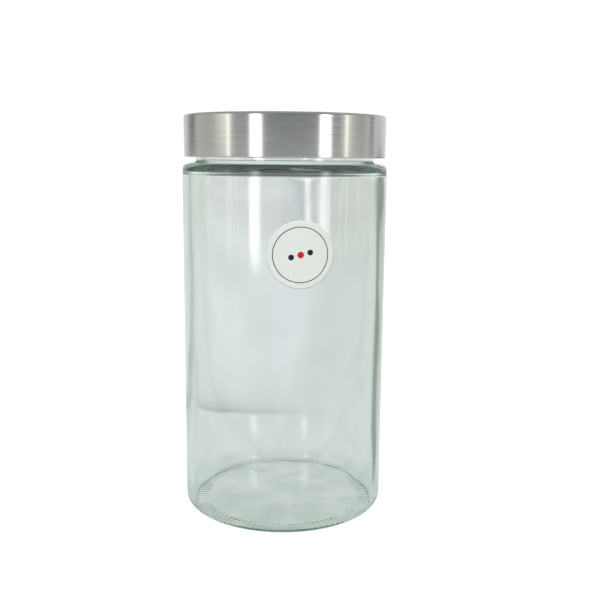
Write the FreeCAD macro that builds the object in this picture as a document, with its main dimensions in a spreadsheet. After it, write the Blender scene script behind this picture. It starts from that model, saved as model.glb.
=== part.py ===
"""Glass storage jar with a brushed steel screw lid and a round paper sticker.

Row frame, in millimetres: +Z up along the jar's axis, the origin at the centre of the
plane that the jar stands on. The sticker is on the -Y side, which is the front.

Pieces, each a node of its own:
  glass_jar    the blown glass body: pushed-up base, straight wall, shoulder and screw neck
  lid_shell    the pressed steel cap with its rolled lower hem
  lid_insert   the plastic liner that the shell is pressed over, with the lid's inner thread
  sticker      the round paper sticker, which follows the wall's curve
"""

import FreeCAD, Part
import os

import Sketcher

PARTS_FOLDER = "parts"
TOUCH = 1e-4  # how near two positions are to count as the same, in mm

# Driving dimensions: alias, value, what it is. Lengths in mm, angles in degrees.
DIMENSIONS = [
    ("jar_diameter", 100.0, "outside of the glass wall"),
    ("wall", 3.8, "thickness of the glass wall"),
    ("shoulder_level", 172.2, "height of the shoulder where it meets the neck"),
    ("shoulder_fall", 0.9, "how far the shoulder falls from the neck to the wall"),
    ("shoulder_round", 3.2, "radius of the shoulder's outer corner"),
    ("shoulder_inner_level", 169.4, "height of the inner shoulder at the neck's bore"),
    ("shoulder_inner_fall", 1.2, "how far the inner shoulder falls to the wall"),
    ("shoulder_inner_round", 2.5, "radius of the inner shoulder's corners"),
    ("neck_diameter", 86.8, "outside of the neck under its thread"),
    ("neck_bore", 79.6, "inside of the neck"),
    ("neck_root_round", 1.2, "radius where the neck rises from the shoulder"),
    ("rim_round", 1.1, "radius of the rim's two edges"),
    ("heel_round", 4.3, "radius between the wall and the base"),
    ("bearing_inner", 82.0, "inside diameter of the flat ring that the jar stands on"),
    ("push_up", 1.6, "height of the push-up's flat middle under the base"),
    ("floor_edge", 1.8, "height of the inner floor, taken out to the wall"),
    ("floor_centre", 3.4, "height of the inner floor's flat middle"),
    ("floor_round", 2.0, "radius between the inner floor and the wall"),
    ("dome_flat", 24.0, "diameter of the flat middle of the floor and of the push-up"),
    ("thread_pitch", 5.0, "rise of the thread in one turn"),
    ("thread_turns", 1.25, "turns of thread on the neck and in the liner"),
    ("thread_start", 180.0, "height where the neck's thread starts, at mid-ridge"),
    ("thread_depth", 1.3, "how far the neck's thread stands out"),
    ("thread_root", 2.2, "width of a thread ridge where it leaves its wall"),
    ("thread_crest", 1.2, "width of a thread ridge at its crest"),
    ("thread_bite", 0.4, "how far a thread ridge goes into its wall, to fuse with it"),
    ("thread_gap", 0.35, "clearance between the neck and the liner"),
    ("lid_diameter", 98.4, "outside of the lid at its top"),
    ("lid_draft", 0.2, "how far the lid's side comes in towards its hem"),
    ("lid_height", 19.9, "height of the steel shell"),
    ("lid_top", 194.5, "height of the lid's top face"),
    ("lid_sheet", 0.5, "thickness of the steel"),
    ("lid_edge_round", 1.2, "outer radius round the lid's top edge"),
    ("hem_width", 1.6, "width of the rolled hem"),
    ("hem_height", 1.1, "height of the rolled hem"),
    ("hem_round", 0.5, "radius of the hem's outer edge"),
    ("liner_top", 1.6, "thickness of the liner's disc, which seals on the rim"),
    ("liner_gap", 0.1, "clearance between the liner and the steel"),
    ("sticker_diameter", 30.6, "diameter of the paper sticker"),
    ("sticker_level", 132.3, "height of the sticker's middle"),
    ("sticker_turn", 9.4, "angle of the sticker's middle round the jar from the front"),
    ("sticker_paper", 0.15, "thickness of the paper"),
]

doc = FreeCAD.newDocument("storage_jar")


def fill_sheet():
    """Makes the spreadsheet whose cells hold the driving dimensions."""
    sheet = doc.addObject("Spreadsheet::Sheet", "Sizes")
    for row, (alias, value, meaning) in enumerate(DIMENSIONS, start=1):
        sheet.set(f"A{row}", alias)
        sheet.set(f"B{row}", str(value))
        sheet.set(f"C{row}", meaning)
        sheet.setAlias(f"B{row}", alias)
    doc.recompute()
    return sheet


sizes = fill_sheet()


def bound(expression):
    """An expression in the sheet's aliases, as FreeCAD reads it from another object."""
    for alias in sorted((d[0] for d in DIMENSIONS), key=len, reverse=True):
        expression = expression.replace(f"<{alias}>", f"Sizes.{alias}")
    return expression


def value_of(expression):
    """The present value of such an expression."""
    found = sizes.evalExpression(bound(expression))
    return float(getattr(found, "Value", found))


# Places that more than one piece uses, as expressions.
JAR_RADIUS = "<jar_diameter> / 2"
BORE_RADIUS = "(<jar_diameter> / 2 - <wall>)"
NECK_RADIUS = "<neck_diameter> / 2"
RIM_LEVEL = "(<lid_top> - <lid_sheet> - <liner_top>)"
SHELL_BOTTOM = "(<lid_top> - <lid_height>)"
LINER_RADIUS = "(<lid_diameter> / 2 - <lid_draft> - <lid_sheet> - <liner_gap>)"
LINER_BORE = "(<neck_diameter> / 2 + <thread_depth> + <thread_gap>)"
LINER_BOTTOM = "(<lid_top> - <lid_height> + <hem_height> + <liner_gap>)"


def new_body(name, label):
    """A PartDesign body with its Label."""
    body = doc.addObject("PartDesign::Body", name)
    body.Label = label
    return body


def side_sketch(body, name, corners):
    """A closed outline in the body's XZ plane. Each corner is a radius and a height, as
    expressions, and both are constraints bound to the sheet. A radius of None is on the axis."""
    plane = next(f for f in body.Origin.OriginFeatures if f.Role == "XZ_Plane")
    sketch = body.newObject("Sketcher::SketchObject", name)
    sketch.AttachmentSupport = [(plane, "")]
    sketch.MapMode = "FlatFace"
    places = [
        FreeCAD.Vector(value_of(r) if r else 0.0, value_of(z), 0.0) for r, z in corners
    ]
    lines = [
        sketch.addGeometry(Part.LineSegment(a, b), False)
        for a, b in zip(places, places[1:] + places[:1])
    ]
    for before, after in zip([lines[-1]] + lines[:-1], lines):
        sketch.addConstraint(Sketcher.Constraint("Coincident", before, 2, after, 1))
    for line, place, (radius, height) in zip(lines, places, corners):
        if radius:
            bind_corner(sketch, "DistanceX", line, place.x, radius)
        else:
            sketch.addConstraint(Sketcher.Constraint("PointOnObject", line, 1, -2))
        bind_corner(sketch, "DistanceY", line, place.y, height)
    doc.recompute()
    return sketch


def bind_corner(sketch, kind, line, start, expression):
    """Holds a line's start at a distance from the origin that follows the sheet."""
    number = sketch.addConstraint(Sketcher.Constraint(kind, -1, 1, line, 1, start))
    sketch.setExpression(f"Constraints[{number}]", bound(expression))


def revolve(body, name, sketch):
    """Turns an outline once round the body's vertical axis."""
    turned = body.newObject("PartDesign::Revolution", name)
    turned.Profile = sketch
    turned.ReferenceAxis = (sketch, ["V_Axis"])
    turned.Angle = 360.0
    doc.recompute()
    return turned


def round_edges(body, name, radius, places):
    """Fillets the circular edges that lie at these radii and heights."""
    base = body.Tip
    found = [edge_at(base.Shape, value_of(r), value_of(z)) for r, z in places]
    fillet = body.newObject("PartDesign::Fillet", name)
    fillet.Base = (base, found)
    fillet.setExpression("Radius", bound(radius))
    doc.recompute()
    return fillet


def edge_at(shape, radius, height):
    """The name of the circular edge round Z with that radius and height."""
    for number, edge in enumerate(shape.Edges, start=1):
        if edge.Curve.TypeId != "Part::GeomCircle":
            continue
        near = abs(edge.Curve.Radius - radius) < TOUCH
        if near and abs(edge.Curve.Center.z - height) < TOUCH:
            return f"Edge{number}"
    raise ValueError(f"no edge of radius {radius} at height {height}")


def add_thread(body, name, wall, crest, level):
    """A helical ridge that runs from a wall's radius to its crest's radius, with its middle
    starting at a level. It goes a little into the wall, so that the two fuse."""
    into_wall = "-" if value_of(crest) > value_of(wall) else "+"
    root = f"{wall} {into_wall} <thread_bite>"
    sketch = side_sketch(
        body,
        name + "Outline",
        [
            (root, f"{level} - <thread_root> / 2"),
            (crest, f"{level} - <thread_crest> / 2"),
            (crest, f"{level} + <thread_crest> / 2"),
            (root, f"{level} + <thread_root> / 2"),
        ],
    )
    thread = body.newObject("PartDesign::AdditiveHelix", name)
    thread.Profile = sketch
    thread.ReferenceAxis = (sketch, ["V_Axis"])
    thread.Mode = "pitch-turns-angle"
    thread.setExpression("Pitch", bound("<thread_pitch>"))
    thread.setExpression("Turns", bound("<thread_turns>"))
    doc.recompute()
    return thread


def make_glass_jar():
    """The glass body: outline up the outside, over the rim and down the inside."""
    body = new_body("JarBody", "glass_jar")
    outer_shoulder = "<shoulder_level> - <shoulder_fall>"
    inner_shoulder = "<shoulder_inner_level> - <shoulder_inner_fall>"
    outline = side_sketch(
        body,
        "JarOutline",
        [
            (None, "<push_up>"),
            ("<dome_flat> / 2", "<push_up>"),
            ("<bearing_inner> / 2", "0"),
            (JAR_RADIUS, "0"),
            (JAR_RADIUS, outer_shoulder),
            (NECK_RADIUS, "<shoulder_level>"),
            (NECK_RADIUS, RIM_LEVEL),
            ("<neck_bore> / 2", RIM_LEVEL),
            ("<neck_bore> / 2", "<shoulder_inner_level>"),
            (BORE_RADIUS, inner_shoulder),
            (BORE_RADIUS, "<floor_edge>"),
            ("<dome_flat> / 2", "<floor_centre>"),
            (None, "<floor_centre>"),
        ],
    )
    revolve(body, "JarGlass", outline)
    round_edges(body, "JarHeel", "<heel_round>", [(JAR_RADIUS, "0")])
    round_edges(body, "JarFloor", "<floor_round>", [(BORE_RADIUS, "<floor_edge>")])
    round_edges(body, "JarShoulder", "<shoulder_round>", [(JAR_RADIUS, outer_shoulder)])
    round_edges(
        body,
        "JarInnerShoulder",
        "<shoulder_inner_round>",
        [("<neck_bore> / 2", "<shoulder_inner_level>"), (BORE_RADIUS, inner_shoulder)],
    )
    round_edges(
        body, "JarNeckRoot", "<neck_root_round>", [(NECK_RADIUS, "<shoulder_level>")]
    )
    round_edges(
        body,
        "JarRim",
        "<rim_round>",
        [(NECK_RADIUS, RIM_LEVEL), ("<neck_bore> / 2", RIM_LEVEL)],
    )
    add_thread(
        body, "JarThread", NECK_RADIUS, f"{NECK_RADIUS} + <thread_depth>", "<thread_start>"
    )
    return body


def make_lid_shell():
    """The steel cap: a flat top, a side with a slight draft, and a hem rolled inwards."""
    body = new_body("ShellBody", "lid_shell")
    top_radius = "<lid_diameter> / 2"
    bottom_radius = "<lid_diameter> / 2 - <lid_draft>"
    hem_top = f"{SHELL_BOTTOM} + <hem_height>"
    inner_top = "<lid_top> - <lid_sheet>"
    outline = side_sketch(
        body,
        "ShellOutline",
        [
            (None, "<lid_top>"),
            (top_radius, "<lid_top>"),
            (bottom_radius, SHELL_BOTTOM),
            (f"{bottom_radius} - <hem_width>", SHELL_BOTTOM),
            (f"{bottom_radius} - <hem_width>", hem_top),
            (f"{bottom_radius} - <lid_sheet>", hem_top),
            (f"{top_radius} - <lid_sheet>", inner_top),
            (None, inner_top),
        ],
    )
    revolve(body, "ShellSheet", outline)
    round_edges(body, "ShellEdge", "<lid_edge_round>", [(top_radius, "<lid_top>")])
    inner_round = "<lid_edge_round> - <lid_sheet>"
    round_edges(
        body, "ShellInnerEdge", inner_round, [(f"{top_radius} - <lid_sheet>", inner_top)]
    )
    round_edges(body, "ShellHem", "<hem_round>", [(bottom_radius, SHELL_BOTTOM)])
    return body


def make_lid_insert():
    """The plastic liner: a disc that seals on the rim and a skirt with the inner thread."""
    body = new_body("InsertBody", "lid_insert")
    disc_top = "<lid_top> - <lid_sheet>"
    outline = side_sketch(
        body,
        "InsertOutline",
        [
            (None, disc_top),
            (LINER_RADIUS, disc_top),
            (LINER_RADIUS, LINER_BOTTOM),
            (LINER_BORE, LINER_BOTTOM),
            (LINER_BORE, RIM_LEVEL),
            (None, RIM_LEVEL),
        ],
    )
    revolve(body, "InsertPlastic", outline)
    round_edges(body, "InsertEdge", "<lid_edge_round>", [(LINER_RADIUS, disc_top)])
    add_thread(
        body,
        "InsertThread",
        LINER_BORE,
        f"{NECK_RADIUS} + <thread_gap>",
        "<thread_start> + <thread_pitch> / 2",
    )
    return body


def add_cylinder(name, radius, height):
    """A Part cylinder whose size follows the sheet."""
    cylinder = doc.addObject("Part::Cylinder", name)
    cylinder.setExpression("Radius", bound(radius))
    cylinder.setExpression("Height", bound(height))
    return cylinder


def make_sticker():
    """The sticker: a thin sleeve on the wall, kept where a round punch through it comes out."""
    sleeve_outer = add_cylinder(
        "SleeveOuter", f"{JAR_RADIUS} + <sticker_paper>", "<shoulder_level>"
    )
    sleeve_inner = add_cylinder("SleeveInner", JAR_RADIUS, "<shoulder_level>")
    sleeve = doc.addObject("Part::Cut", "Sleeve")
    sleeve.Base = sleeve_outer
    sleeve.Tool = sleeve_inner
    punch = add_cylinder("Punch", "<sticker_diameter> / 2", "<jar_diameter>")
    place = "placement(vector(0; 0; <sticker_level>); rotation(<sticker_turn>; 0; 90))"
    punch.setExpression("Placement", bound(place))
    sticker = doc.addObject("Part::Common", "StickerPaper")
    sticker.Base = sleeve
    sticker.Tool = punch
    sticker.Label = "sticker"
    doc.recompute()
    return sticker


def check(pieces):
    """Stops the script if an object failed or a piece isn't one valid solid."""
    failed = [o.Name for o in doc.Objects if {"Invalid", "Error"} & set(o.State)]
    if failed:
        raise RuntimeError(f"these objects failed: {failed}")
    for piece in pieces:
        shape = piece.Shape
        if shape.isNull() or not shape.isValid() or len(shape.Solids) != 1:
            raise RuntimeError(f"{piece.Label} isn't one valid solid")
        print(
            f"{piece.Label}: {shape.Volume / 1000:.2f} cm3, {len(shape.Faces)} faces,"
            f" z {shape.BoundBox.ZMin:.2f} to {shape.BoundBox.ZMax:.2f}"
        )


def export(pieces):
    """Writes each piece to parts/LABEL.step."""
    os.makedirs(PARTS_FOLDER, exist_ok=True)
    for piece in pieces:
        piece.Shape.exportStep(os.path.join(PARTS_FOLDER, piece.Label + ".step"))


pieces = [make_glass_jar(), make_lid_shell(), make_lid_insert(), make_sticker()]
doc.recompute()
check(pieces)
export(pieces)
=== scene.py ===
"""The looks of the glass storage jar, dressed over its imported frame.

The glass, the steel lid, its liner and the paper sticker are rebuilt as finer meshes inside
the frame's solids, in metres, +Z up, with the sticker's side towards -Y. Sizes in the
first two sections are in millimetres, and MM turns them into metres. The studio is in metres.
"""

import math

import bpy
from mathutils import Matrix, Vector, noise


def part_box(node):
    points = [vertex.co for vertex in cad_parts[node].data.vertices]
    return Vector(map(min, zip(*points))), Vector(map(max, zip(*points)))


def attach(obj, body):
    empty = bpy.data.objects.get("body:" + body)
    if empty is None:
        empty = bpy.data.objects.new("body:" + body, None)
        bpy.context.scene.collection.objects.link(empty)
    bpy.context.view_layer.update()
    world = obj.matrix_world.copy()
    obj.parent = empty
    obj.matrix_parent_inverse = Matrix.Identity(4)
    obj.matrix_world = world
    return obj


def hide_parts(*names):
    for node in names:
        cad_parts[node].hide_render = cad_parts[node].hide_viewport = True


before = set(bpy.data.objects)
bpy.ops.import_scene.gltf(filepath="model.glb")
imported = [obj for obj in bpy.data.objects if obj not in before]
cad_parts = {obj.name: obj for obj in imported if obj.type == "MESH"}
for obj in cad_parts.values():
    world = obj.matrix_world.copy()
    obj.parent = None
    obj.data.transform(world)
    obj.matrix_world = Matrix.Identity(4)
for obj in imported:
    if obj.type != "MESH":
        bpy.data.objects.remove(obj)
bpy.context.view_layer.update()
BODY = "root"
MM = 0.001


# Sizes and tones --------------------------------------------------------------------------


def node_size(node):
    """A CAD node's largest radius, lowest level and highest level, in mm."""
    low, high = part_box(node)
    return (high.x - low.x) / 2 / MM, low.z / MM, high.z / MM


JAR_RADIUS, _, RIM_LEVEL = node_size("glass_jar")
WALL = 3.8
HEEL_ROUND = 4.3
SHOULDER_LEVEL = 172.2
SHOULDER_FALL = 0.9
SHOULDER_ROUND = 3.2
INNER_SHOULDER = 169.4
INNER_FALL = 1.2
INNER_ROUND = 2.5
NECK_RADIUS = 43.4
NECK_BORE = 39.8
NECK_ROOT_ROUND = 1.2
RIM_ROUND = 1.1
BEARING_INNER = 41.0
BEARING_ROUND = 10.0
PUSH_UP = 1.6
FLOOR_EDGE = 1.8
FLOOR_CENTRE = 3.4
FLOOR_ROUND = 2.0
DOME_FLAT = 12.0
DOME_ROUND = 200.0

THREAD_START = 180.0
THREAD_PITCH = 5.0
THREAD_TURNS = 1.25
THREAD_DEPTH = 1.3
THREAD_WIDTH = 2.2
THREAD_FLAT = 0.45
THREAD_RUN_OUT = 0.03

LID_RADIUS = 49.2
LID_DRAFT = 0.2
LID_SHEET = 0.5
LID_BOTTOM, LID_TOP = node_size("lid_shell")[1:]
HEM_WIDTH = 1.6
HEM_HEIGHT = 1.1
LID_EDGE_ROUND = 1.2
HEM_ROUND = 0.5
HEM_INNER_ROUND = 0.4

LINER_RADIUS = 48.4
LINER_BORE = 45.05
LINER_BOTTOM = node_size("lid_insert")[1]

STICKER_LOW, STICKER_HIGH = (corner.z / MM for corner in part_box("sticker"))
STICKER_RADIUS = (STICKER_HIGH - STICKER_LOW) / 2
STICKER_LEVEL = (STICKER_HIGH + STICKER_LOW) / 2
STICKER_TURN = math.radians(9.4)
STICKER_PAPER = 0.15
STICKER_GAP = 0.01
STICKER_RINGS, STICKER_SPOKES = 24, 96
PRINT_TURN = math.radians(-14)
PRINT_RING_OUTER, PRINT_RING_INNER = 12.6, 12.2
PRINT_DOT_PLACE, PRINT_DOT, PRINT_MIDDLE_DOT = 4.4, 1.3, 1.5

STIPPLES = 96
STIPPLE_INNER = 39.0
STIPPLE_OUTER = 46.2
STIPPLE_LEVEL = 1.2
STIPPLE_SHALLOW, STIPPLE_EXTRA = 0.10, 0.26
FLOOR_WAVE = 0.28
WALL_WAVE, WALL_RIPPLE = 0.34, 0.07

TURN_STEPS = 5 * STIPPLES
LID_STEPS = 240
LINER_STEPS = 180
LONGEST_STEP = 5.0

# Studio, in metres. A tone goes with a turn in degrees from the front towards +X.
FLOOR_HALF, FLOOR_LEVEL = 12.0, -0.0001
LAMP_LOW, LAMP_HIGH = 0.018, 0.36
FOOT_FADE = 0.14
HEAD_FADE = 0.6
HEAD_SHARE = 0.35
CAMERA_PLACE = (0.00805, -0.4178, 0.1766)
CAMERA_TILT, CAMERA_ROLL = 90 - 9.93, 0.52
CAMERA_LENS = 50.23

NO, YES = (0, 0, 0), (1, 1, 1)
ROOM_TONES = [
    (-180, (0.72, 0.72, 0.72)),
    (-152, (0.78, 0.78, 0.78)),
    (-139, (0.66, 0.67, 0.67)),
    (-131, (0.32, 0.33, 0.33)),
    (-122, (0.26, 0.27, 0.27)),
    (-115, (0.67, 0.67, 0.63)),
    (-95, (0.58, 0.58, 0.53)),
    (-86, (0.62, 0.62, 0.56)),
    (-79, (0.88, 0.87, 0.78)),
    (-70, (1.32, 1.31, 1.17)),
    (-62, (1.00, 0.99, 0.90)),
    (-55, (0.42, 0.42, 0.40)),
    (-20, (0.24, 0.25, 0.255)),
    (0, (0.18, 0.20, 0.21)),
    (25, (0.20, 0.215, 0.22)),
    (62, (0.38, 0.38, 0.36)),
    (75, (1.22, 1.21, 1.09)),
    (83, (0.66, 0.65, 0.59)),
    (97, (0.47, 0.47, 0.44)),
    (107, (0.72, 0.72, 0.68)),
    (113, (0.34, 0.34, 0.33)),
    (116, (0.34, 0.34, 0.33)),
    (121, (0.78, 0.78, 0.78)),
    (150, (0.88, 0.88, 0.88)),
    (180, (0.72, 0.72, 0.72)),
]
MID_TONES = [
    (-180, (0.70, 0.77, 0.78)),
    (-165, (0.73, 0.78, 0.76)),
    (-142, (0.72, 0.77, 0.75)),
    (-139, (0.46, 0.50, 0.47)),
    (-131, (0.46, 0.50, 0.47)),
    (-125, (0.70, 0.74, 0.72)),
    (138, (0.74, 0.78, 0.75)),
    (153, (0.62, 0.67, 0.63)),
    (174, (0.63, 0.68, 0.64)),
    (178, (0.69, 0.75, 0.75)),
    (180, (0.70, 0.77, 0.78)),
]
FAR_TONES = [
    (-180, (0.54, 0.57, 0.59)),
    (-177.5, (0.68, 0.71, 0.71)),
    (-165, (0.70, 0.74, 0.70)),
    (-142, (0.68, 0.72, 0.68)),
    (-139, (0.46, 0.50, 0.47)),
    (-131, (0.46, 0.50, 0.47)),
    (-125, (0.66, 0.69, 0.66)),
    (138, (0.70, 0.73, 0.69)),
    (153, (0.60, 0.63, 0.59)),
    (176, (0.60, 0.63, 0.60)),
    (178.5, (0.54, 0.57, 0.58)),
    (180, (0.54, 0.57, 0.59)),
]
# Painted shadow of the jar on the table, as metal and glass see it: under the jar, and just
# outside it.
UNDER_JAR_SHADOW_TONES = [(0.35, (0.40, 0.48, 0.43)), (0.65, (0.51, 0.58, 0.53))]
NEAR_JAR_SHADOW_TONE = (0.66, 0.72, 0.69, 1)
CLOUD_TONES = [(0.35, (0.95, 0.95, 0.96)), (0.65, (1.04, 1.04, 1.04))]
# The band's turns are about a point at x = BAND_SHIFT.
BAND_SHIFT = 0.06
BAND_TURNS = [(-180, NO), (126, NO), (131, YES), (149, YES), (154, NO), (180, NO)]
BAND_TONE = (0.27, 0.31, 0.28, 1)
# The fold by y, and by x + FOLD_SHIFT, because a ramp starts at 0.
FOLD_SHIFT = 0.3
FOLD_STRENGTH = 0.7
FOLD_TONE = (0.30, 0.33, 0.35, 1)
FOLD_DEPTH = [
    (0.136, NO),
    (0.140, YES),
    (0.153, (0.45, 0.45, 0.45)),
    (0.175, (0.12, 0.12, 0.12)),
    (0.21, NO),
]
FOLD_WIDTH = [(0.10, NO), (0.16, YES), (0.25, YES), (0.33, NO)]


# Mesh helpers -----------------------------------------------------------------------------


def arc_between(before, corner, after, radius, step_angle):
    """The points of a round of that radius in a corner, or the corner itself if it is sharp."""
    to_before = (before - corner).normalized()
    to_after = (after - corner).normalized()
    half = to_before.angle(to_after) / 2
    if radius <= 0 or abs(half - math.pi / 2) < 1e-4:
        return [corner]
    reach = radius / math.tan(half)
    centre = corner + (to_before + to_after).normalized() * (radius / math.sin(half))
    first = corner + to_before * reach - centre
    last = corner + to_after * reach - centre
    sweep = first.angle(last)
    steps = max(2, math.ceil(sweep / step_angle), math.ceil(radius * sweep / LONGEST_STEP))
    points = []
    for i in range(steps + 1):
        share = i / steps
        a = math.sin((1 - share) * sweep) / math.sin(sweep)
        b = math.sin(share * sweep) / math.sin(sweep)
        points.append(centre + first * a + last * b)
    return points


def outline(corners, step_angle=math.radians(10), guard=0.3):
    """Points along an outline of (radius, level, round, step) corners. The straight run up to
    a corner is cut into its steps, with a guard point beside each round, so that flat
    stretches shade flat."""
    places = [Vector(corner[:2]) for corner in corners]
    bends = [[places[0]]]
    for i in range(1, len(corners) - 1):
        bends.append(
            arc_between(places[i - 1], places[i], places[i + 1], corners[i][2], step_angle)
        )
    bends.append([places[-1]])
    points = list(bends[0])
    for corner, bend in zip(corners[1:], bends[1:]):
        points += run_points(points[-1], bend[0], corner[3], guard)
        points += bend
    return [(p.x, p.y) for p in points]


def run_points(start, end, step, guard):
    """The points inside a straight run."""
    length = (end - start).length
    if length < 4 * guard:
        return []
    along = (end - start) / length
    pieces = max(1, round((length - 2 * guard) / step))
    inner = (length - 2 * guard) / pieces
    return [start + along * (guard + inner * i) for i in range(pieces + 1)]


def lathe(name, points, steps, move=None):
    """A smooth mesh turned round the Z axis. A point on the axis becomes a single vertex.
    move(radius, level, angle, place) may shift a point, where place is its number."""
    vertices, rings = [], []
    for place, (radius, level) in enumerate(points):
        if radius < 1e-6:
            rings.append([len(vertices)] * steps)
            vertices.append((0.0, 0.0, level * MM))
            continue
        rings.append(range(len(vertices), len(vertices) + steps))
        for i in range(steps):
            angle = math.tau * i / steps
            r, z = move(radius, level, angle, place) if move else (radius, level)
            vertices.append((r * math.sin(angle) * MM, -r * math.cos(angle) * MM, z * MM))
    faces = []
    for ring, above in zip(rings, rings[1:]):
        for i in range(steps):
            j = (i + 1) % steps
            corners = [ring[i], ring[j], above[j], above[i]]
            faces.append(tuple(dict.fromkeys(corners)))
    return mesh_piece(name, vertices, faces)


def mesh_piece(name, vertices, faces):
    """A smooth-shaded mesh object from its vertices, in metres, and faces."""
    mesh = bpy.data.meshes.new(name)
    mesh.from_pydata(vertices, [], faces)
    mesh.validate()
    mesh.shade_smooth()
    piece = bpy.data.objects.new(name, mesh)
    bpy.context.scene.collection.objects.link(piece)
    return piece


def dress(piece, material, node):
    """Gives a piece its material and ties it to the CAD node that it stands for."""
    piece.data.materials.append(material)
    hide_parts(node)
    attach(piece, BODY)


def smooth_step(low, high, value):
    """0 below low, 1 above high and an eased change between."""
    share = min(1.0, max(0.0, (value - low) / (high - low)))
    return share * share * (3 - 2 * share)


def thread_height(angle, level, start):
    """How far a screw thread's ridge stands out at a place on its wall, from 0 to 1."""
    tallest = 0.0
    for turn in range(math.ceil(THREAD_TURNS) + 1):
        wound = angle / math.tau + turn
        from_end = min(wound, THREAD_TURNS - wound)
        off = abs(level - start - THREAD_PITCH * wound) / (THREAD_WIDTH / 2)
        ridge = 1 - smooth_step(THREAD_FLAT, 1.0, off)
        tallest = max(tallest, ridge * smooth_step(0.0, THREAD_RUN_OUT, from_end))
    return tallest


# Pieces -----------------------------------------------------------------------------------


def make_glass():
    """The jar: blown glass with an uneven inside, a stippled foot and a screw thread."""
    inner = JAR_RADIUS - WALL
    stipple_share = (BEARING_INNER - STIPPLE_INNER) / (BEARING_INNER - DOME_FLAT)
    corners = [
        (0, PUSH_UP, 0, 0),
        (DOME_FLAT, PUSH_UP, DOME_ROUND, 5.0),
        (STIPPLE_INNER, PUSH_UP * stipple_share, 0, 5.0),
        (BEARING_INNER, 0, BEARING_ROUND, 0.4),
        (JAR_RADIUS, 0, HEEL_ROUND, 0.3),
        (JAR_RADIUS, SHOULDER_LEVEL - SHOULDER_FALL, SHOULDER_ROUND, 40.0),
        (NECK_RADIUS, SHOULDER_LEVEL, NECK_ROOT_ROUND, 2.0),
        (NECK_RADIUS, RIM_LEVEL, RIM_ROUND, 1.0),
        (NECK_BORE, RIM_LEVEL, RIM_ROUND, 2.0),
        (NECK_BORE, INNER_SHOULDER, INNER_ROUND, 5.0),
        (inner, INNER_SHOULDER - INNER_FALL, INNER_ROUND, 2.0),
        (inner, FLOOR_EDGE, FLOOR_ROUND, 4.5),
        (DOME_FLAT, FLOOR_CENTRE, DOME_ROUND, 4.5),
        (0, FLOOR_CENTRE, 0, 4.5),
    ]
    points = outline(corners)
    count = len(points)
    middle = JAR_RADIUS - WALL / 2

    def uneven(radius, level, angle, place):
        if level > THREAD_START - 3 and radius > (NECK_RADIUS + NECK_BORE) / 2:
            return radius + THREAD_DEPTH * thread_height(angle, level, THREAD_START), level
        if level < STIPPLE_LEVEL and radius > STIPPLE_INNER:
            return radius, level + stipple(radius, angle)
        if place > count / 2 and level < FLOOR_CENTRE + 0.1 and radius < inner - FLOOR_ROUND:
            return radius, level + uneven_floor(radius, angle)
        if radius < middle and THREAD_START > level > FLOOR_EDGE + FLOOR_ROUND:
            return uneven_inside(radius, level, angle)
        return radius, level

    return lathe("glass_body", points, TURN_STEPS, uneven)


def stipple(radius, angle):
    """The mould's short radial notches in the ring that the jar stands on."""
    wave = 0.5 - 0.5 * math.cos(angle * STIPPLES)
    reach = smooth_step(STIPPLE_INNER, STIPPLE_INNER + 1.2, radius)
    reach *= 1 - smooth_step(STIPPLE_OUTER - 1.4, STIPPLE_OUTER, radius)
    place = Vector((math.sin(angle), -math.cos(angle), 0)) * 2.6
    worn = smooth_step(-0.35, 0.35, noise.noise(place + Vector((1.3, 7.9, 2.2))))
    return (STIPPLE_SHALLOW + STIPPLE_EXTRA * worn) * wave * reach


def uneven_floor(radius, angle):
    """The slow waves of the jar's floor."""
    place = Vector((math.sin(angle), -math.cos(angle), 0)) * (radius / 13)
    return FLOOR_WAVE * noise.noise(place + Vector((4.1, 2.7, 0.3)))


def uneven_inside(radius, level, angle):
    """The slow waves that blowing leaves on the inner wall, in thickness only."""
    across = Vector((math.sin(angle), -math.cos(angle), 0)) * 2.1
    wave = noise.noise(across + Vector((0, 0, level / 55 + 3.7)))
    ripple = noise.noise(across * 2.3 + Vector((5.2, 0, level / 24)))
    calm = smooth_step(6, 20, level) * (1 - smooth_step(160, 169, level))
    shift = calm * (WALL_WAVE * wave + WALL_RIPPLE * ripple)
    return radius + shift, level


def make_lid_shell():
    """The steel shell: flat top, drawn side and a hem rolled inwards."""
    bottom_radius = LID_RADIUS - LID_DRAFT
    corners = [
        (0, LID_TOP, 0, 0),
        (LID_RADIUS, LID_TOP, LID_EDGE_ROUND, 6.0),
        (bottom_radius, LID_BOTTOM, HEM_ROUND, 6.0),
        (bottom_radius - HEM_WIDTH, LID_BOTTOM, HEM_INNER_ROUND, 1.0),
        (bottom_radius - HEM_WIDTH, LID_BOTTOM + HEM_HEIGHT, HEM_INNER_ROUND, 1.0),
        (bottom_radius - LID_SHEET, LID_BOTTOM + HEM_HEIGHT, 0.2, 1.0),
        (LID_RADIUS - LID_SHEET, LID_TOP - LID_SHEET, 0.7, 6.0),
        (0, LID_TOP - LID_SHEET, 0, 6.0),
    ]
    return lathe("lid_steel", outline(corners), LID_STEPS)


def make_liner():
    """The plastic liner inside the shell, with its thread."""
    corners = [
        (0, LID_TOP - LID_SHEET, 0, 0),
        (LINER_RADIUS, LID_TOP - LID_SHEET, LID_EDGE_ROUND, 6.0),
        (LINER_RADIUS, LINER_BOTTOM, 0.5, 6.0),
        (LINER_BORE, LINER_BOTTOM, 0.5, 1.0),
        (LINER_BORE, RIM_LEVEL, 0.4, 0.7),
        (0, RIM_LEVEL, 0, 6.0),
    ]
    start = THREAD_START + THREAD_PITCH / 2

    def threaded(radius, level, angle, place):
        if abs(radius - LINER_BORE) < 1e-3 and level < RIM_LEVEL - 1:
            return radius - THREAD_DEPTH * thread_height(angle, level, start), level
        return radius, level

    return lathe("lid_liner", outline(corners), LINER_STEPS, threaded)


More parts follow.
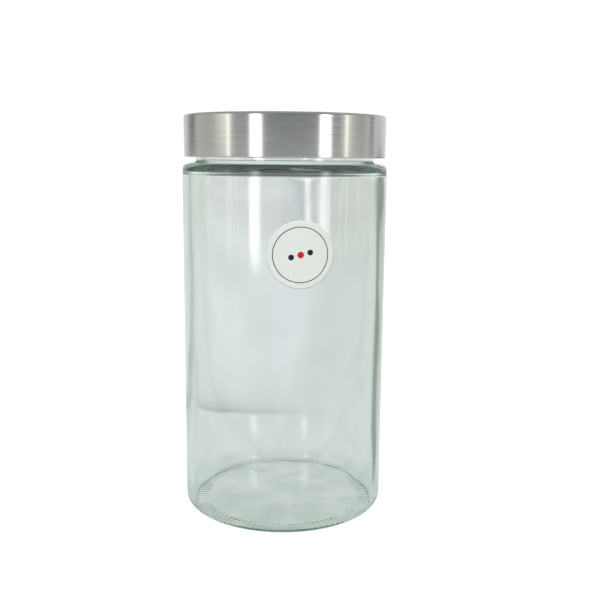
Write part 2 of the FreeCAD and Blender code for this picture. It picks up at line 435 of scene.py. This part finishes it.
def make_sticker():
    """The paper disc, wrapped on the wall. Its UV map is in mm from its middle."""
    rings, spokes = STICKER_RINGS, STICKER_SPOKES
    layers = [JAR_RADIUS + STICKER_GAP, JAR_RADIUS + STICKER_PAPER]
    vertices, flat = [], []
    for layer in layers:
        for ring in range(rings + 1):
            for spoke in range(spokes):
                angle = math.tau * spoke / spokes
                reach = STICKER_RADIUS * ring / rings
                across, up = reach * math.cos(angle), reach * math.sin(angle)
                turn = STICKER_TURN + math.asin(across / JAR_RADIUS)
                x, y, z = layer * math.sin(turn), -layer * math.cos(turn), STICKER_LEVEL + up
                vertices.append((x * MM, y * MM, z * MM))
                flat.append((across, up))
    count = (rings + 1) * spokes
    faces = []
    for ring in range(rings):
        for spoke in range(spokes):
            a = ring * spokes + spoke
            b = ring * spokes + (spoke + 1) % spokes
            inner = (a, b, b + spokes, a + spokes)
            faces.append(inner)
            faces.append(tuple(count + k for k in reversed(inner)))
    for spoke in range(spokes):
        a = rings * spokes + spoke
        b = rings * spokes + (spoke + 1) % spokes
        faces.append((a, b, b + count, a + count))
    piece = mesh_piece("paper_sticker", vertices, faces)
    layer = piece.data.uv_layers.new(name="print")
    for loop in piece.data.loops:
        layer.data[loop.index].uv = flat[loop.vertex_index]
    return piece


# Materials --------------------------------------------------------------------------------


class Nodes:
    """Short calls for the node tree of one material, world or lamp."""

    def __init__(self, owner):
        owner.use_nodes = True
        self.tree = owner.node_tree
        self.tree.nodes.clear()

    def add(self, kind, inputs=None, **settings):
        """A node with its settings. An input is a value or another node's output."""
        node = self.tree.nodes.new("ShaderNode" + kind)
        for name, value in settings.items():
            setattr(node, name, value)
        for name, value in (inputs or {}).items():
            if isinstance(value, bpy.types.NodeSocket):
                self.tree.links.new(value, node.inputs[name])
            else:
                node.inputs[name].default_value = value
        return node

    def math(self, operation, a, b=0.0, c=0.0):
        """A Math node's output."""
        return self.add("Math", {0: a, 1: b, 2: c}, operation=operation).outputs[0]

    def span(self, value, low, high, start=0.0, end=1.0):
        """A value's way from low to high, clamped, as a number from start to end."""
        return self.add(
            "MapRange",
            {"Value": value, "From Min": low, "From Max": high, "To Min": start, "To Max": end},
        ).outputs[0]

    def vector(self, operation, a, b=(0, 0, 0)):
        """A Vector Math node's vector."""
        return self.add("VectorMath", {0: a, 1: b}, operation=operation).outputs[0]

    def measure(self, operation, a, b=(0, 0, 0)):
        """A Vector Math node's number, such as a length, a distance or a dot product."""
        return self.add("VectorMath", {0: a, 1: b}, operation=operation).outputs["Value"]

    def split(self, vector):
        """A vector's three numbers."""
        return self.add("SeparateXYZ", {0: vector}).outputs

    def noise(self, vector, scale, detail=2.0):
        """A noise texture's grey output."""
        return self.add(
            "TexNoise", {"Vector": vector, "Scale": scale, "Detail": detail}
        ).outputs[0]

    def ramp(self, value, stops):
        """A colour ramp's output, from (position, colour) stops."""
        node = self.add("ValToRGB", {"Fac": value})
        elements = node.color_ramp.elements
        while len(elements) < len(stops):
            elements.new(0.5)
        for element, (position, colour) in zip(elements, stops):
            element.position = position
            element.color = (*colour, 1)
        return node.outputs[0]

    def mix(self, share, first, second):
        """A mix of two colours."""
        return self.add("MixRGB", {0: share, 1: first, 2: second}).outputs[0]

    def bump(self, height, strength, distance):
        """A bump's normal."""
        return self.add(
            "Bump", {"Height": height, "Strength": strength, "Distance": distance}
        ).outputs[0]

    def output(self, surface, volume=None):
        """Ends a material."""
        sockets = {"Surface": surface}
        if volume:
            sockets["Volume"] = volume
        self.add("OutputMaterial", sockets)


def new_material(name):
    """An empty node material and the helper for its nodes."""
    material = bpy.data.materials.new(name)
    return material, Nodes(material)


def glass_material():
    """Clear soda-lime glass: it looks green only where the way through it is long."""
    material, n = new_material("clear_glass")
    where = n.add("TexCoord").outputs["Object"]
    peel = n.noise(where, 70.0, 1.0)
    level = n.split(where)[2]
    under = n.span(level, 3.6 * MM, 5.0 * MM, 1.0, 0.0)
    pressed = n.math("MULTIPLY", n.noise(where, 90.0, 1.0), under)
    height = n.math("MULTIPLY_ADD", pressed, 4.0, peel)
    surface = n.add(
        "BsdfPrincipled",
        {
            "Base Color": (1, 1, 1, 1),
            "Roughness": 0.0,
            "IOR": 1.52,
            "Transmission Weight": 1.0,
            "Normal": n.bump(height, 1.0, 0.03 * MM),
        },
    )
    tint = n.add("VolumeAbsorption", {"Color": (0.72, 0.88, 0.81, 1), "Density": 20.0})
    n.output(surface.outputs[0], tint.outputs[0])
    return material


def brushed_steel_material():
    """Steel brushed in circles round the lid's axis, on its top and round its side."""
    material, n = new_material("brushed_steel")
    where = n.add("TexCoord").outputs["Object"]
    flat = n.vector("MULTIPLY", where, (1, 1, 0))
    radius = n.measure("LENGTH", flat)
    outwards = n.vector("NORMALIZE", flat)
    level = n.split(where)[2]
    across = n.math("MULTIPLY", n.math("ADD", radius, level), 3800.0)
    spread = n.vector("MULTIPLY", outwards, (3, 3, 0))
    lift = n.add("CombineXYZ", {2: across}).outputs[0]
    fine = n.noise(n.vector("ADD", spread, lift), 1.0, 3.0)
    tone = n.ramp(fine, [(0.25, (0.53, 0.53, 0.52)), (0.75, (0.65, 0.65, 0.64))])
    rough = n.span(fine, 0.3, 0.7, 0.14, 0.20)
    tangent = n.add("Tangent", direction_type="RADIAL", axis="Z").outputs[0]
    surface = n.add(
        "BsdfPrincipled",
        {
            "Base Color": tone,
            "Metallic": 1.0,
            "Roughness": rough,
            "Anisotropic": 0.6,
            "Anisotropic Rotation": 0.25,
            "Tangent": tangent,
            "Normal": n.bump(fine, 0.3, 0.004 * MM),
        },
    )
    n.output(surface.outputs[0])
    return material


def liner_material():
    """Plain moulded polypropylene, a little milky."""
    material, n = new_material("milky_plastic")
    where = n.add("TexCoord").outputs["Object"]
    grain = n.noise(where, 900.0)
    tone = n.ramp(grain, [(0.3, (0.60, 0.62, 0.60)), (0.7, (0.64, 0.66, 0.64))])
    surface = n.add(
        "BsdfPrincipled",
        {"Base Color": tone, "Roughness": 0.45, "Normal": n.bump(grain, 0.2, 0.05 * MM)},
    )
    n.output(surface.outputs[0])
    return material


def sticker_material():
    """Smooth white paper with a fine ring and a row of three dots printed on its outer face.
    A faint painted glow on its back stands for the light that such thin paper lets through."""
    material, n = new_material("printed_paper")
    place = n.add("UVMap", uv_map="print").outputs[0]
    turned = n.add(
        "VectorRotate", {"Vector": place, "Angle": PRINT_TURN}, rotation_type="Z_AXIS"
    ).outputs[0]

    def within(across, radius):
        away = n.measure("DISTANCE", turned, (across, 0, 0))
        return n.math("LESS_THAN", away, radius)

    where = n.add("NewGeometry").outputs
    outwards = n.measure("DOT_PRODUCT", where["True Normal"], where["Position"])
    outer_face = n.math("GREATER_THAN", outwards, 0.0)
    ring = n.math("SUBTRACT", within(0, PRINT_RING_OUTER), within(0, PRINT_RING_INNER))
    dots = n.math(
        "MAXIMUM", within(-PRINT_DOT_PLACE, PRINT_DOT), within(PRINT_DOT_PLACE, PRINT_DOT)
    )
    fibre = n.noise(place, 2.2, 4.0)
    paper = n.ramp(fibre, [(0.3, (0.80, 0.83, 0.79)), (0.7, (0.84, 0.87, 0.83))])
    black = n.math("MULTIPLY", n.math("MAXIMUM", ring, dots), outer_face)
    red = n.math("MULTIPLY", within(0, PRINT_MIDDLE_DOT), outer_face)
    inked = n.mix(black, paper, (0.02, 0.02, 0.025, 1))
    printed = n.mix(red, inked, (0.60, 0.02, 0.03, 1))
    # Painted light: the paper's back face glows, standing for light that the thin paper would
    # let through.
    painted_back_glow = n.math("MULTIPLY", n.math("SUBTRACT", 1.0, outer_face), 0.35)
    surface = n.add(
        "BsdfPrincipled",
        {
            "Base Color": printed,
            "Roughness": 0.8,
            "Specular IOR Level": 0.3,
            "Normal": n.bump(fibre, 0.15, 0.02 * MM),
            "Emission Color": paper,
            "Emission Strength": painted_back_glow,
        },
    )
    n.output(surface.outputs[0])
    return material


# Surroundings -----------------------------------------------------------------------------


def seen_directly(n):
    """1 for what the camera sees with nothing between, else 0."""
    return n.add("LightPath").outputs["Is Camera Ray"]


def seen_in_gloss(n):
    """1 for what metal mirrors and for what shows through glass."""
    path = n.add("LightPath").outputs
    return n.math("MAXIMUM", path["Is Glossy Ray"], path["Is Transmission Ray"])


def round_tones(n, x, y, tones):
    """A colour by the direction of a place, from (turn, colour) stops, where turn is in degrees
    from the front towards +X."""
    around = n.math("ARCTAN2", x, n.math("MULTIPLY", y, -1.0))
    share = n.math("MULTIPLY_ADD", around, 1 / math.tau, 0.5)
    return n.ramp(share, [(turn / 360 + 0.5, colour) for turn, colour in tones])


def make_world():
    """A white studio, dim where the camera stands and overhead. What shows through glass from
    above the level is lighter."""
    world = bpy.data.worlds.new("studio")
    bpy.context.scene.world = world
    n = Nodes(world)
    way = n.split(n.add("TexCoord").outputs["Generated"])
    room = round_tones(n, way[0], way[1], ROOM_TONES)
    high = n.span(way[2], 0.15, 0.6)
    through = n.add("LightPath").outputs["Is Transmission Ray"]
    overhead = n.mix(through, (0.46, 0.47, 0.48, 1), (0.31, 0.37, 0.345, 1))
    room = n.mix(high, room, overhead)
    raised = n.ramp(way[2], [(0.12, NO), (0.22, YES), (0.8, YES), (0.92, NO)])
    room = n.mix(n.math("MULTIPLY", raised, through), room, (0.85, 0.88, 0.88, 1))
    colour = n.mix(seen_directly(n), room, (1, 1, 1, 1))
    background = n.add("Background", {"Color": colour, "Strength": 1.0})
    n.add("OutputWorld", {"Surface": background.outputs[0]})


def table_tones(n, place):
    """The table's tones in metal and through glass: a patchy painted shadow under the jar and a
    painted shade just outside it, by direction further out, with a dark band far back on one
    side, a faint dark fold behind and soft clouds."""
    away = n.measure("LENGTH", place)
    x, y, _ = n.split(place)
    # Painted shadow: the jar's shadow on the table, as darker patches under it and a darker
    # tone just outside.
    outside = n.span(away, 0.045, 0.075)
    under_jar_shadow = n.ramp(n.noise(place, 55.0, 1.0), UNDER_JAR_SHADOW_TONES)
    shadow_near_jar = n.mix(outside, under_jar_shadow, NEAR_JAR_SHADOW_TONE)
    mid = round_tones(n, x, y, MID_TONES)
    far = round_tones(n, x, y, FAR_TONES)
    beyond = n.mix(n.span(away, 0.6, 1.8), mid, far)
    around = n.mix(n.span(away, 0.1, 0.3), shadow_near_jar, beyond)
    band = round_tones(n, n.math("SUBTRACT", x, BAND_SHIFT), y, BAND_TURNS)
    around = n.mix(n.math("MULTIPLY", band, outside), around, BAND_TONE)
    sideways = n.ramp(n.math("ADD", x, FOLD_SHIFT), FOLD_WIDTH)
    sideways = n.math("MULTIPLY", sideways, FOLD_STRENGTH)
    fold = n.math("MULTIPLY", n.ramp(y, FOLD_DEPTH), sideways)
    around = n.mix(fold, around, FOLD_TONE)
    heading = n.vector("DIVIDE", n.vector("MULTIPLY", place, (7, 7, 0)), away)
    reach = n.add("CombineXYZ", {2: n.math("LOGARITHM", away, 2.0)}).outputs[0]
    clouds = n.noise(n.vector("ADD", heading, reach), 1.0)
    return n.vector("MULTIPLY", around, n.ramp(clouds, CLOUD_TONES))


def make_floor():
    """A large pale table top. The camera sees it white, with the jar's soft shadow."""
    edges = (-FLOOR_HALF, FLOOR_HALF)
    corners = [(x, y, FLOOR_LEVEL) for y in edges for x in edges]
    floor = mesh_piece("table", corners, [(0, 1, 3, 2)])
    material, n = new_material("pale_table")
    white = n.mix(seen_directly(n), (0, 0, 0, 1), (0.86, 0.86, 0.86, 1))
    matt = n.add("BsdfDiffuse", {"Color": (0.35, 0.35, 0.35, 1)}).outputs[0]
    bright = n.add("Emission", {"Color": white}).outputs[0]
    lit = n.add("AddShader", {0: matt, 1: bright}).outputs[0]
    tones = table_tones(n, n.add("NewGeometry").outputs["Position"])
    plain = n.add("Emission", {"Color": tones}).outputs[0]
    n.output(n.add("MixShader", {0: seen_in_gloss(n), 1: lit, 2: plain}).outputs[0])
    floor.data.materials.append(material)


def fade_edges(data, share):
    """Dims a lamp panel towards its two upright sides, over that share of its width, towards
    its lower end and, less, towards its upper end."""
    n = Nodes(data)
    place = n.add("NewGeometry").outputs["Parametric"]
    across, up, _ = n.split(place)
    sides = n.ramp(across, [(0, NO), (share, YES), (1 - share, YES), (1, NO)])
    faint = (HEAD_SHARE,) * 3
    ends = n.ramp(up, [(0, NO), (FOOT_FADE, YES), (HEAD_FADE, YES), (1, faint)])
    emission = n.add("Emission", {"Color": n.vector("MULTIPLY", sides, ends)})
    n.add("OutputLight", {"Surface": emission.outputs[0]})


def add_lamp(name, data, place, outwards):
    """A lamp that the camera doesn't see. It shines against the outwards direction."""
    lamp = bpy.data.objects.new(name, data)
    lamp.location = place
    lamp.rotation_euler = outwards.to_track_quat("Z", "Y").to_euler()
    lamp.visible_camera = False
    bpy.context.scene.collection.objects.link(lamp)
    return lamp


def add_soft_box(name, turn, distance, width, strength, soft, colour=(1, 1, 1)):
    """An upright lamp panel that shines at the jar's axis. turn is the angle from the front, in
    degrees towards +X; strength is its radiance, and soft the share of its width over which
    each side fades."""
    height = LAMP_HIGH - LAMP_LOW
    data = bpy.data.lights.new(name, "AREA")
    data.shape = "RECTANGLE"
    data.size, data.size_y = width, height
    data.color = colour
    data.energy = strength * width * height * math.pi
    fade_edges(data, soft)
    around = math.radians(turn)
    outwards = Vector((math.sin(around), -math.cos(around), 0))
    middle = Vector((0, 0, (LAMP_LOW + LAMP_HIGH) / 2))
    add_lamp(name, data, outwards * distance + middle, outwards)


def add_fill(name, place, size, watts):
    """A broad square lamp that points at the jar's foot and isn't seen in metal or glass."""
    data = bpy.data.lights.new(name, "AREA")
    data.size = size
    data.energy = watts
    lamp = add_lamp(name, data, place, Vector(place))
    lamp.visible_glossy = lamp.visible_transmission = False


def make_lights():
    """Two strong strips and two faint ones round the front, and two soft fills."""
    add_soft_box("strip_left", -29.9, 0.75, 0.20, 5.2, 0.46)
    add_soft_box("strip_right", 44.6, 0.75, 0.20, 5.2, 0.46)
    add_soft_box("side_left", -62, 0.8, 0.09, 1.2, 0.45, (1.0, 0.98, 0.90))
    add_soft_box("side_right", 70.5, 0.8, 0.07, 1.3, 0.45, (1.0, 0.98, 0.88))
    add_fill("overhead", (0, 0, 1.3), 1.2, 6.0)
    add_fill("front", (0.1, -1.4, 0.9), 1.2, 12.0)


def make_camera():
    """A camera level with the lid's lower edge, tilted down and a hair off upright."""
    data = bpy.data.cameras.new("camera")
    data.sensor_width = 36
    data.lens = CAMERA_LENS
    data.clip_start, data.clip_end = 0.01, 50
    camera = bpy.data.objects.new("camera", data)
    tilt = Matrix.Rotation(math.radians(CAMERA_TILT), 4, "X")
    roll = Matrix.Rotation(math.radians(CAMERA_ROLL), 4, "Z")
    camera.matrix_world = Matrix.Translation(CAMERA_PLACE) @ tilt @ roll
    bpy.context.scene.collection.objects.link(camera)
    bpy.context.scene.camera = camera


# The scene --------------------------------------------------------------------------------

dress(make_glass(), glass_material(), "glass_jar")
dress(make_lid_shell(), brushed_steel_material(), "lid_shell")
dress(make_liner(), liner_material(), "lid_insert")
dress(make_sticker(), sticker_material(), "sticker")
make_world()
make_floor()
make_lights()
make_camera()

scene = bpy.context.scene
scene.view_settings.view_transform = "Standard"
scene.cycles.max_bounces = 64
scene.cycles.transmission_bounces = 64
scene.cycles.glossy_bounces = 64
